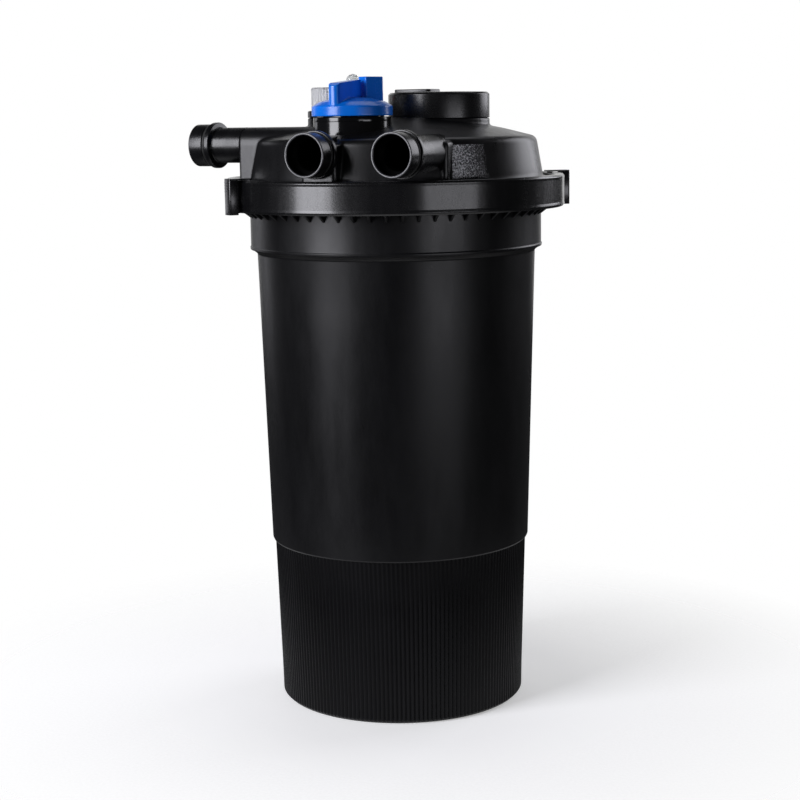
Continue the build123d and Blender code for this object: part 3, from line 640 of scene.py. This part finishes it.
def make_stipple_pad():
    """Rough patch on the dome's wall beside the outlet block."""
    start, end = -41.2, -25.5
    low, high = 590.5, 625.0
    columns, rows = 60, 40
    bm = bmesh.new()

    def layer(proud, sunk):
        grid = []
        for row in range(rows + 1):
            height = low + (high - low) * row / rows
            line = []
            for column in range(columns + 1):
                angle = radians(start + (end - start) * column / columns)
                edge = min(row, rows - row, column) / 1.5
                lift = proud * min(1.0, edge, (columns - column) / 24 - 0.3) - sunk
                radius = (wall_radius(height) + lift) * MM
                line.append(bm.verts.new((radius * cos(angle), radius * sin(angle), height * MM)))
            grid.append(line)
        return grid

    def rim(grid):
        top = [grid[rows][column] for column in range(columns, 0, -1)]
        left = [grid[row][0] for row in range(rows, 0, -1)]
        return grid[0][:columns] + [line[columns] for line in grid[:rows]] + top + left

    outer, inner = layer(0.55, 0), layer(0, 1.2)
    for grid in (outer, inner):
        for row in range(rows):
            for column in range(columns):
                bm.faces.new((grid[row][column], grid[row][column + 1],
                              grid[row + 1][column + 1], grid[row + 1][column]))
    rim_out, rim_in = rim(outer), rim(inner)
    for index in range(len(rim_out)):
        after = (index + 1) % len(rim_out)
        bm.faces.new((rim_out[index], rim_out[after], rim_in[after], rim_in[index]))
    for line in outer[1:-1]:
        for vertex in line[1:-1]:
            out = Vector((vertex.co.x, vertex.co.y, 0)).normalized()
            vertex.co += out * noise.noise(vertex.co * 900) * 0.00028
    pad = finished("lid_stipple_pad", bm)
    pad.data.materials.append(stipple)
    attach(pad, body_of["lid"])
    return pad


make_stipple_pad()


# ---- clamp ring -----------------------------------------------------------------------------
LEFT_JOINT = 235.5
RIGHT_JOINT = 401.0
GAP = 0.07


def ear(angle, side):
    """A flat ear with an outer bead, on one side of a joint."""
    plan = [(186, 0.2), (200, 0.2, 0.6), (200, 4.7, 1.0), (194, 4.7, 1.0), (194, 3.2, 0.6),
            (186, 3.2)]
    turn = radians(angle)
    return prism("ear", [(x, side * y, *rest) for x, y, *rest in plan], 555.3, 589.7, bevel=0.5,
                 along=UP, across=Vector((cos(turn), sin(turn), 0)), segments=2)


def make_clamp_half(name, start, end):
    outline = [
        (178, 555, 1.0), (186.2, 555, 1.6), (188, 557.5, 1.5), (187.6, 560.5, 2), (187.6, 585, 2),
        (188, 587.8, 1.5), (186, 590, 1.8), (179.6, 590, 1.2), (178, 588.6, 0.8), (178, 586.6, 0.3),
        (184, 586.6, 0.5), (184, 558.4, 0.5), (178, 558.4, 0.3),
    ]
    arc = lathe(name + "_arc", outline, segments=240, sweep=(start + GAP, end - GAP))
    return joined(name, [arc, ear(start, 1), ear(end, -1)])


stands_for(make_clamp_half("clamp_half_front", LEFT_JOINT, RIGHT_JOINT), "clamp_half_front")
stands_for(make_clamp_half("clamp_half_rear", RIGHT_JOINT - 360, LEFT_JOINT), "clamp_half_rear")


def make_clip(name, angle):
    """Slide-on locking clip: open at the bottom, stopped at the top, wider towards the top."""
    turn = radians(angle)
    out = Vector((cos(turn), sin(turn), 0))
    plan = [(192.5, 7.6, 1), (202.5, 7.6, 2), (202.5, -7.6, 2), (192.5, -7.6, 1), (192.5, -3.6, 0.5),
            (193.6, -3.6, 0.3), (193.6, -5.1, 0.4), (200.4, -5.1, 0.4), (200.4, 5.1, 0.4),
            (193.6, 5.1, 0.4), (193.6, 3.6, 0.3), (192.5, 3.6, 0.5)]
    body = prism(name + "_body", plan, 553.5, 590.6, bevel=0.3, along=UP, across=out, segments=2)
    cap = prism(name + "_cap", [(176, -7.6, 2), (202.5, -7.6, 2), (202.5, 7.6, 2), (176, 7.6, 2)],
                590.4, 592, bevel=0.5, along=UP, across=out)
    grip = [prism(name + "_grip", [(202, -5.5, 0.3), (203, -5.5, 0.3), (203, 5.5, 0.3), (202, 5.5, 0.3)],
                  height, height + 1.4, bevel=0.3, along=UP, across=out)
            for height in (578, 581, 584, 587)]
    return joined(name, [body, cap, *grip])


stands_for(make_clip("clamp_clip_left", LEFT_JOINT), "clamp_clip_left")
stands_for(make_clip("clamp_clip_right", RIGHT_JOINT), "clamp_clip_right")


# ---- ports ----------------------------------------------------------------------------------
def spigot_outline(length):
    """Port tube from the mouth inwards: collar, O-ring groove, second ring, tube, bore."""
    return [
        (PORT_SEAT, 1.0, 0.4), (21.2, 0, 0.35), (22.4, 0, 0.5), (PORT_COLLAR, 0.8, 0.6),
        (PORT_COLLAR, 16.4, 0.8), (22.4, 17, 0.3), (SEAL_GROOVE, 17.2, 0.5),
        (SEAL_GROOVE, 20.9, 0.5), (24.4, 21, 0.6), (PORT_RING, 21.8, 0.8), (PORT_RING, 26.2, 0.8),
        (24.4, 27, 0.6), (TUBE_RADIUS, 27.4, 1.6), (TUBE_RADIUS, length), (TUBE_BORE, length),
        (TUBE_BORE, 15.5, 1.0), (PORT_SEAT, 12, 0.6),
    ]


def finish_mouth(piece, mouth, way):
    """Give a port's lighter grey front rim and its matt bore, darkened as painted shade, their own
    finishes.
    """
    piece.data.materials.append(port_bore_painted_shade)
    piece.data.materials.append(port_rim)
    for face in piece.data.polygons:
        offset = (face.center - mouth) / MM
        depth = offset.dot(way)
        spoke = offset - way * depth
        radius = spoke.length
        # Faces inside the bore take the painted shade; faces on the front rim take the lighter grey.
        if depth > 1.0 and radius < PORT_SEAT + 0.3 and face.normal.dot(spoke) < 0:
            face.material_index = 1
        elif depth < 1.2 and radius > SEAL_GROOVE - 0.3:
            face.material_index = 2


def cut_by_valve(piece):
    hole = cylinder("valve_bite", valve_radius + 0.05, (valve_axis.x, valve_axis.y, 0.58), UP, 90)
    return cut(piece, [hole])


inlet_mouth = Vector((middle("inlet_spigot").x, inlet_low.y, middle("inlet_spigot").z))
outlet_mouth = Vector((outlet_high.x - PORT_RING * MM, outlet_low.y, inlet_mouth.z))
waste_mouth = Vector((waste_low.x, middle("waste_spigot").y, middle("waste_spigot").z))

inlet = cut_by_valve(lathe("inlet_spigot", spigot_outline(90), origin=inlet_mouth, along=INWARDS,
                           across=UP, segments=128))
finish_mouth(stands_for(inlet, "inlet_spigot"), inlet_mouth, INWARDS)
WASTE_SHOULDER = 63.4
waste_outline = spigot_outline(175)[:13] + [
    (TUBE_RADIUS, WASTE_SHOULDER), (PLUG_RADIUS, WASTE_SHOULDER), (PLUG_RADIUS, 175),
    (PLUG_BORE, 175), (PLUG_BORE, WASTE_SHOULDER), (TUBE_BORE, WASTE_SHOULDER - 3),
    *spigot_outline(175)[15:]]
waste = cut_by_valve(lathe("waste_spigot", waste_outline, origin=waste_mouth,
                           along=RIGHT, across=UP, segments=128))
finish_mouth(stands_for(waste, "waste_spigot"), waste_mouth, RIGHT)


def make_outlet():
    """The outlet runs into the dome and joins the valve through a cross duct."""
    outline = spigot_outline(100)
    outline[14:15] = [(TUBE_RADIUS, 104), (0, 104), (0, 100), (TUBE_BORE, 100)]
    outline.remove((TUBE_RADIUS, 100))
    tube = lathe("outlet_spigot", outline, origin=outlet_mouth, along=INWARDS, across=UP,
                 segments=128)
    duct_start = Vector((85.5, DUCT_LINE, DUCT_HEIGHT)) * MM
    duct = cylinder("duct", DUCT_RADIUS, duct_start, -RIGHT, 80)
    combine(tube, duct, "UNION")
    bore_start = Vector((100, DUCT_LINE, DUCT_HEIGHT)) * MM
    bore = cylinder("duct_bore", DUCT_BORE, bore_start, -RIGHT, 95)
    return cut_by_valve(cut(tube, [bore]))


finish_mouth(stands_for(make_outlet(), "outlet_spigot"), outlet_mouth, INWARDS)

for seal_name, mouth, way in (("inlet_oring", inlet_mouth, INWARDS),
                              ("outlet_oring", outlet_mouth, INWARDS),
                              ("waste_oring", waste_mouth, RIGHT)):
    circle = [(21.9 + 1.6 * cos(radians(30 * k)), 19 + 1.6 * sin(radians(30 * k))) for k in range(12)]
    stands_for(lathe(seal_name, circle, origin=mouth, along=way, across=UP, segments=128, sharp=60),
               seal_name)


# ---- valve ----------------------------------------------------------------------------------
valve_origin = (valve_axis.x, valve_axis.y, 0)
housing = lathe("valve_housing", [
    (0, 588), (valve_radius, 588, 1), (valve_radius, VALVE_COVER_LOW, 0.3),
    (35, VALVE_COVER_LOW), (35, 592, 1), (0, 592),
], origin=valve_origin, segments=160)
stands_for(cut(housing, [
    cylinder("inlet_way", TUBE_BORE, (0, -0.1, inlet_mouth.z), -INWARDS, 60),
    cylinder("waste_way", PLUG_BORE, (0, waste_mouth.y, waste_mouth.z), -RIGHT, 60),
    cylinder("outlet_way", DUCT_BORE, (0, DUCT_LINE * MM, DUCT_HEIGHT * MM), (1, 0, 0), 60),
    cylinder("down_way", FLOOR_HOLE, Vector((-FLOOR_HOLE_ASIDE, FLOOR_HOLE_LINE, 580)) * MM, UP, 20),
    cylinder("return_way", FLOOR_HOLE, Vector((FLOOR_HOLE_ASIDE, FLOOR_HOLE_LINE, 580)) * MM, UP, 20),
]), "valve_housing", look=valve_gloss)
stands_for(lathe("valve_cover", [
    (6.05, 653.4), (9.6, 653.4), (9.6, VALVE_COVER_LOW), (valve_radius, VALVE_COVER_LOW, 0.3),
    (valve_radius, VALVE_TOP - 0.6, 0.6), (valve_radius - 1.6, VALVE_TOP, 0.5), (34, VALVE_TOP),
    (34, VALVE_TOP + 3, 0.5), (30, VALVE_TOP + 3, 0.5), (30, VALVE_TOP), (6.05, VALVE_TOP),
], origin=valve_origin, segments=160), "valve_cover", look=valve_gloss)


ARM_REACH = 42.0         # pointer arm's tip from the valve's axis
ARM_BACK = 9.0
ARM_HALF = 6.4
LUG_ANGLE = 68.5
LUG_HALF = 6.5


def make_knob():
    """Domed knob with a sloping pointer arm and a taller lug."""
    disc = lathe("knob_disc", [
        (0, 663), (37.5, 663), (39, 655.8, 0.5), (43, 655.8, 0.8), (43, 666.0, 1.4), (40.5, 667.6, 2),
        (35, 670.6, 6), (20, 674.6, 12), (0, 676),
    ], origin=valve_origin, segments=192)
    hub = cylinder("knob_hub", 9, (valve_axis.x, valve_axis.y, 0.656), UP, 12)
    arm = prism("arm", [(-ARM_BACK, -ARM_HALF, 1), (ARM_REACH, -ARM_HALF, 5.2),
                        (ARM_REACH, ARM_HALF, 5.2), (-ARM_BACK, ARM_HALF, 1)], 662, 700,
                bevel=0, origin=valve_origin, along=UP, across=-INWARDS)
    slope = prism("slope", [(-12, 660), (46, 660), (46, 684.6), (41.0, 687.6, 2), (36, 690.2, 4),
                            (-12, 694.2)], -10, 10, bevel=0, origin=valve_origin,
                  along=-RIGHT, across=-INWARDS)
    combine(arm, slope, "INTERSECT")
    turn = radians(LUG_ANGLE)
    lug = prism("lug", [(14, -LUG_HALF, 1.5), (39.5, -LUG_HALF, 3), (39.5, LUG_HALF, 3),
                        (14, LUG_HALF, 1.5)], 662, 697, bevel=0.8, origin=valve_origin, along=UP,
                across=Vector((cos(turn), sin(turn), 0)))
    knob = moulded_together("selector_knob", [disc, hub, arm, lug], 0.55, smooth=4)
    square = prism("square", [(-4.3, -4.3), (4.3, -4.3), (4.3, 4.3), (-4.3, 4.3)], 650, 668,
                   bevel=0, origin=valve_origin)
    return cut(knob, [square])


def finish_arm_flanks(knob):
    """Give the pointer arm's flanks the matt finish of a grip and a brighter blue, painted light on them.
    """
    knob.data.materials.append(knob_flank_painted_light)
    for face in knob.data.polygons:
        on_arm = face.center.y < valve_axis.y + ARM_BACK * MM and 0.670 < face.center.z < 0.698
        aside = abs(face.center.x - valve_axis.x)
        if on_arm and aside < (ARM_HALF + 0.4) * MM and abs(face.normal.x) > 0.8:
            face.material_index = 1


finish_arm_flanks(stands_for(make_knob(), "selector_knob"))


# ---- UV head --------------------------------------------------------------------------------
head_origin = (head_axis.x, head_axis.y, 0)


def make_head():
    cap = lathe("head_cap", [
        (HEAD_INNER, 652.3, 0.2), (HEAD_RADIUS, 652.3, 0.2), (HEAD_RADIUS, 678.0, 2.0),
        (53.4, 680.2, 1.2), (30, 680.8, 10), (0, 681), (0, 676), (HEAD_INNER, 676, 1),
    ], origin=head_origin, segments=224)
    low, high = 679.5, 684.0
    pad = prism("head_pad", [(-2, 3, 4), (42, 3, 4), (42, 33, 4), (-2, 33, 4)], low, high, bevel=1.3,
                segments=4)
    port = cylinder("gland_hole", 6.5, (head_axis.x, head_axis.y + 0.045, 0.6695), (0, 1, 0), 20)
    return joined("uv_head", [cut(cap, [port]), pad])


stands_for(make_head(), "uv_head")

gland_face = head_axis.y + HEAD_RADIUS * MM
gland_centre = Vector((head_axis.x, gland_face, middle("gland_nut").z))
hexagon = [(8.6 * cos(radians(60 * k)), 8.6 * sin(radians(60 * k)), 0.4) for k in range(6)]
gland_hex = prism("gland_hex", hexagon, 0, 6, bevel=0.7, origin=gland_centre, along=INWARDS,
                  across=RIGHT)
gland_tube = lathe("gland_tube", [(4, -6), (6.2, -6, 0.4), (6.2, 8, 0.4), (4, 8)],
                   origin=gland_centre, along=INWARDS, across=UP, segments=64)
cable_way = cylinder("cable_way", 5, gland_centre - INWARDS * 0.01, INWARDS, 30)
stands_for(joined("cable_gland", [cut(gland_hex, [cable_way]), gland_tube]), "cable_gland")


def fluted(radius, height, angle):
    """Grip flutes on the gland's nut."""
    if radius < 7 or height > 15:
        return radius, height
    return radius - 0.5 * max(0.0, cos(12 * angle)) ** 3, height


stands_for(lathe("gland_nut", [(4, 20, 0.5), (5.2, 20, 0.8), (8.2, 14.5, 1.2), (8.2, 8.2, 0.6), (4, 8.2)],
                 origin=gland_centre, along=INWARDS, across=UP, segments=144, wave=fluted,
                 longest=3), "gland_nut")


# ---- sight glass and indicator --------------------------------------------------------------
SIGHT_RIBS = 36


def knurled(radius, height, angle):
    """Vertical ribs round the outside of the sight glass."""
    if radius < 18.5 or not 663 < height < 685.5:
        return radius, height
    return radius - 0.7 * (0.5 - 0.5 * cos(SIGHT_RIBS * angle)), height


sight_origin = (sight_axis.x, sight_axis.y, 0)
stands_for(lathe("sight_glass", [
    (14.5, 659), (20, 659), (20, 662.8), (19.9, 663.2), (19.8, 685.2, 0.4), (18.6, 687, 0.8), (0, 687),
    (0, 684.5), (17.5, 684.5, 1), (17.5, 662), (14.5, 662),
], origin=sight_origin, segments=SIGHT_RIBS * 8, wave=knurled, longest=6), "sight_glass", look=milky)
stands_for(lathe("sight_glass_nut", [
    (20.2, 654.5, 0.2), (24, 654.5, 0.5), (24, 661, 0.8), (22.6, 662, 0.6), (20.2, 662, 0.2),
], origin=sight_origin, segments=128), "sight_glass_nut")
indicator_origin = (indicator_axis.x, indicator_axis.y, 0)
dome_arc = [(7.5 * cos(radians(9 * k)), 694.5 + 7.5 * sin(radians(9 * k))) for k in range(11)]
inner_arc = [(6.3 * cos(radians(9 * k)), 694.5 + 6.3 * sin(radians(9 * k))) for k in range(10, -1, -1)]
dome_arc[-1] = (0, 702)
inner_arc[0] = (0, 700.8)
stands_for(lathe("indicator_dome", [(6.3, 672), (7.5, 672), *dome_arc, *inner_arc],
                 origin=indicator_origin, segments=64), "indicator_dome")
stands_for(lathe("indicator_socket", [
    (6.3, 640), (7.5, 640), (7.5, 654.2), (11, 654.2, 0.5), (11, 670.5, 1), (9.5, 672, 0.6), (3.3, 672),
    (3.3, 669), (6.3, 669),
], origin=indicator_origin, segments=96), "indicator_socket")
stands_for(lathe("indicator_float", [(0, 674.5), (5, 674.5, 0.8), (5, 684, 1.5), (0, 684.4)],
                 origin=indicator_origin, segments=64), "indicator_float")


# ---- foam discs -----------------------------------------------------------------------------
TIE_ROD_CIRCLE = 108.0
TIE_ROD_ANGLES = (30, 150, 210, 330)
LAMP_LOWEST = 290.0      # foam discs that reach above this height surround the UV chamber


def make_foam(node):
    """A foam disc with slightly crowned faces, a waist and an open-celled surface."""
    low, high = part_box(node)
    radius = (high.x - low.x) / 2 / MM
    bottom, top = low.z / MM, high.z / MM

    def cells(r, height, angle):
        spot = Vector((r * cos(angle), r * sin(angle), height))
        waist = 1.5 * sin(pi * (height - bottom) / (top - bottom)) if r > radius - 2 else 0
        return r - waist + 0.5 * noise.noise(spot * 0.35) - 0.4, height + 0.4 * noise.noise(spot * 0.3)

    disc = lathe(node + "_disc", [(0, bottom + 0.6), (radius - 0.6, bottom + 0.6, 2.5),
                                  (radius - 0.6, top - 0.6, 2.5), (0, top - 0.6)],
                 segments=240, wave=cells, longest=6)
    below = bottom - 10
    holes = [cylinder("pipe", 16, Vector((-FLOOR_HOLE_ASIDE, FLOOR_HOLE_LINE, below)) * MM, UP, 100)]
    for angle in TIE_ROD_ANGLES:
        across, back = TIE_ROD_CIRCLE * cos(radians(angle)), TIE_ROD_CIRCLE * sin(radians(angle))
        holes.append(cylinder("rod", 4.5, Vector((across, back, below)) * MM, UP, 100, segments=32))
    if top > LAMP_LOWEST:
        holes.append(cylinder("lamp", 33, (head_axis.x, head_axis.y, below * MM), UP, 100))
    return stands_for(cut(disc, holes), node)


for foam_node in ("foam_coarse_lower", "foam_coarse_upper", "foam_medium_lower",
                  "foam_medium_upper", "foam_fine"):
    make_foam(foam_node)


# ---- floor, lights and camera ---------------------------------------------------------------
def make_floor():
    bm = bmesh.new()
    bmesh.ops.create_circle(bm, cap_ends=True, segments=96, radius=3.0)
    floor = finished("floor", bm)
    n = Nodes("floor_paper")
    n.material.surface_render_method = "BLENDED"
    grain = n.noise(300.0)
    tone = n.ramp(grain, [(0.3, (0.83, 0.83, 0.83)), (0.7, (0.87, 0.87, 0.87))])
    n.join(tone, n.shader.inputs["Base Color"])
    n.join(tone, n.shader.inputs["Emission Color"])
    n.shader.inputs["Emission Strength"].default_value = 0.45
    n.shader.inputs["Roughness"].default_value = 0.75
    reach = n.add("ShaderNodeVectorMath", operation="LENGTH")
    n.join(n.coordinates, reach.inputs[0])
    n.join(n.span(reach.outputs["Value"], 0.2, 0.62, 1.0, 0.0), n.shader.inputs["Alpha"])
    floor.data.materials.append(n.material)


make_floor()

VIEW_AZIMUTH = 27.5
VIEW_DISTANCE = 1.9745
VIEW_HEIGHT = 0.655
VIEW_ASIDE = 0.0017
VIEW_PITCH = 0.1600
VIEW_ROLL = 0.0150
LENS = 79.17
turned = radians(VIEW_AZIMUTH)
right = Vector((cos(turned), sin(turned), 0))
away = Vector((-sin(turned), cos(turned), 0))
ahead = away * cos(VIEW_PITCH) - UP * sin(VIEW_PITCH)
above = UP * cos(VIEW_PITCH) + away * sin(VIEW_PITCH)
camera_x = right * cos(VIEW_ROLL) - above * sin(VIEW_ROLL)
camera_y = above * cos(VIEW_ROLL) + right * sin(VIEW_ROLL)
camera = bpy.data.objects.new("camera", bpy.data.cameras.new("camera"))
bpy.context.scene.collection.objects.link(camera)
camera.matrix_world = Matrix((
    (camera_x.x, camera_y.x, -ahead.x, 0),
    (camera_x.y, camera_y.y, -ahead.y, 0),
    (camera_x.z, camera_y.z, -ahead.z, 0),
    (0, 0, 0, 1),
))
camera.location = right * VIEW_ASIDE - away * VIEW_DISTANCE + UP * VIEW_HEIGHT
camera.data.lens = LENS
camera.data.sensor_width = 36.0
bpy.context.scene.camera = camera


def softbox(name, aside, distance, height, size, power, colour=(0.94, 0.94, 1.0)):
    """A large area light at an angle from the camera's side, facing the filter's middle."""
    angle = radians(VIEW_AZIMUTH - 90 + aside)
    spot = Vector((cos(angle) * distance, sin(angle) * distance, height))
    data = bpy.data.lights.new(name, "AREA")
    data.shape = "RECTANGLE"
    data.size, data.size_y = size
    data.energy = power
    data.color = colour
    lamp = bpy.data.objects.new(name, data)
    bpy.context.scene.collection.objects.link(lamp)
    lamp.location = spot
    lamp.rotation_euler = (Vector((0, 0, 0.5)) - spot).to_track_quat("-Z", "Y").to_euler()
    lamp.visible_camera = False


softbox("left_softbox", -54, 2.2, 1.14, (1.1, 1.64), 57)
softbox("right_softbox", 36, 2.2, 0.33, (1.4, 0.44), 6.3)
softbox("right_rim", 126, 2.4, 1.27, (1.5, 1.4), 19)
softbox("left_rim", -133, 2.4, 0.9, (0.7, 1.6), 4)
softbox("backdrop", 180, 2.5, 0.95, (2.6, 1.7), 12, colour=(1, 1, 1))
softbox("top_softbox", 170, 1.1, 2.3, (1.6, 0.9), 4)

world = bpy.data.worlds.new("studio")
world.use_nodes = True
bpy.context.scene.world = world
tree = world.node_tree
seen = tree.nodes["Background"]
seen.inputs["Color"].default_value = (1, 1, 1, 1)
seen.inputs["Strength"].default_value = 1.0
lighting = tree.nodes.new("ShaderNodeBackground")
lighting.inputs["Color"].default_value = (0.95, 0.97, 1, 1)
lighting.inputs["Strength"].default_value = 0.03
path = tree.nodes.new("ShaderNodeLightPath")
mix = tree.nodes.new("ShaderNodeMixShader")
tree.links.new(path.outputs["Is Camera Ray"], mix.inputs["Fac"])
tree.links.new(lighting.outputs["Background"], mix.inputs[1])
tree.links.new(seen.outputs["Background"], mix.inputs[2])
tree.links.new(mix.outputs["Shader"], tree.nodes["World Output"].inputs["Surface"])
bpy.context.scene.view_settings.view_transform = "Standard"
